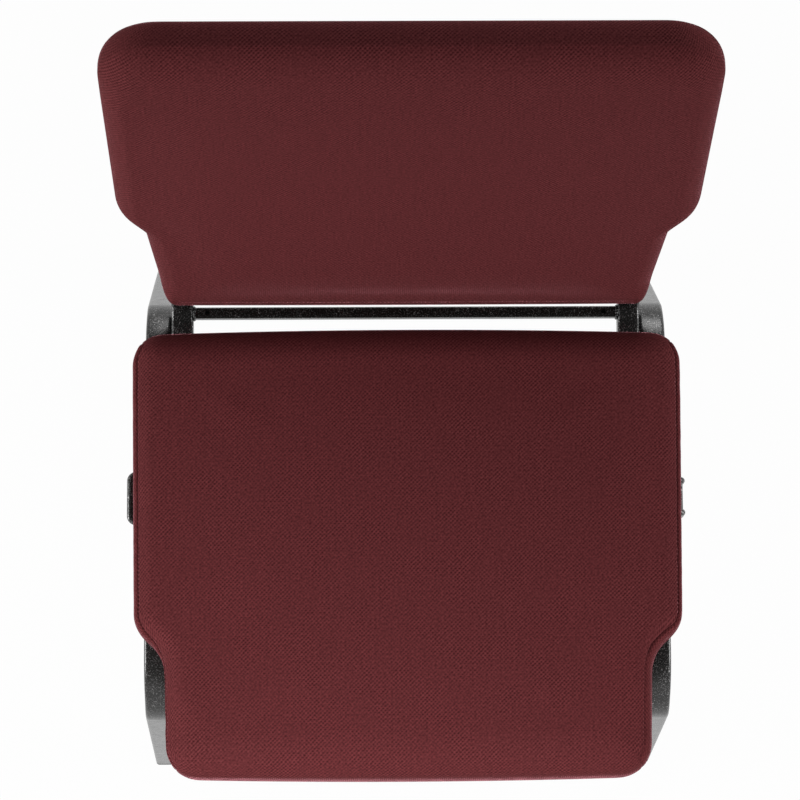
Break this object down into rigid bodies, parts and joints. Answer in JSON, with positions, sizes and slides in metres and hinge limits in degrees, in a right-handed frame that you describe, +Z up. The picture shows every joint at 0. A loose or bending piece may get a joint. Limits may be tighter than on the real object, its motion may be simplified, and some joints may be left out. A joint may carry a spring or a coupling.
{
  "type": "church chair",
  "caption": "Stacking church chair with T-shaped upholstered seat and back pads on a square steel tube frame with splayed legs and side ganging rods.",
  "frame": {"origin": "on the floor, under the middle of the chair's bounding box", "axes": "+Z up, -Y the way the chair faces, +X to the right of someone who stands before the chair and looks at it"},
  "size_m": [0.4869, 0.5514, 0.8499],
  "materials": {
    "fabric": "burgundy checked upholstery weave",
    "foam": "open-cell polyurethane foam",
    "plywood": "raw plywood",
    "dust_cloth": "black spunbond cloth",
    "frame": "black powder coat with silver vein speckle",
    "zinc": "bright zinc plating",
    "plastic": "moulded black nylon"
  },
  "bodies": {
    "root": {"back_board": "plywood", "back_core": "foam", "back_cover": "fabric", "back_foam": "foam", "back_rear_panel": "plywood", "back_screw_left_lower": "zinc", "back_screw_left_upper": "zinc", "back_screw_right_lower": "zinc", "back_screw_right_upper": "zinc", "back_tee_nut_left_lower": "zinc", "back_tee_nut_left_upper": "zinc", "back_tee_nut_right_lower": "zinc", "back_tee_nut_right_upper": "zinc", "front_crossbar": "frame", "ganging_hook": "frame", "ganging_loop": "frame", "left_back_upright": "frame", "left_front_bumper": "plastic", "left_front_glide": "plastic", "left_leg_frame": "frame", "left_rear_bumper": "plastic", "left_rear_glide": "plastic", "left_upright_cap": "plastic", "left_wing_filler": "foam", "rear_crossbar": "frame", "right_back_upright": "frame", "right_front_bumper": "plastic", "right_front_glide": "plastic", "right_leg_frame": "frame", "right_rear_bumper": "plastic", "right_rear_glide": "plastic", "right_upright_cap": "plastic", "right_wing_filler": "foam", "seat_board": "plywood", "seat_bolt_left_front": "zinc", "seat_bolt_left_rear": "zinc", "seat_bolt_right_front": "zinc", "seat_bolt_right_rear": "zinc", "seat_cover": "fabric", "seat_dust_cover": "dust_cloth", "seat_foam": "foam", "seat_tee_nut_left_front": "zinc", "seat_tee_nut_left_rear": "zinc", "seat_tee_nut_right_front": "zinc", "seat_tee_nut_right_rear": "zinc"}
  },
  "joints": []
}
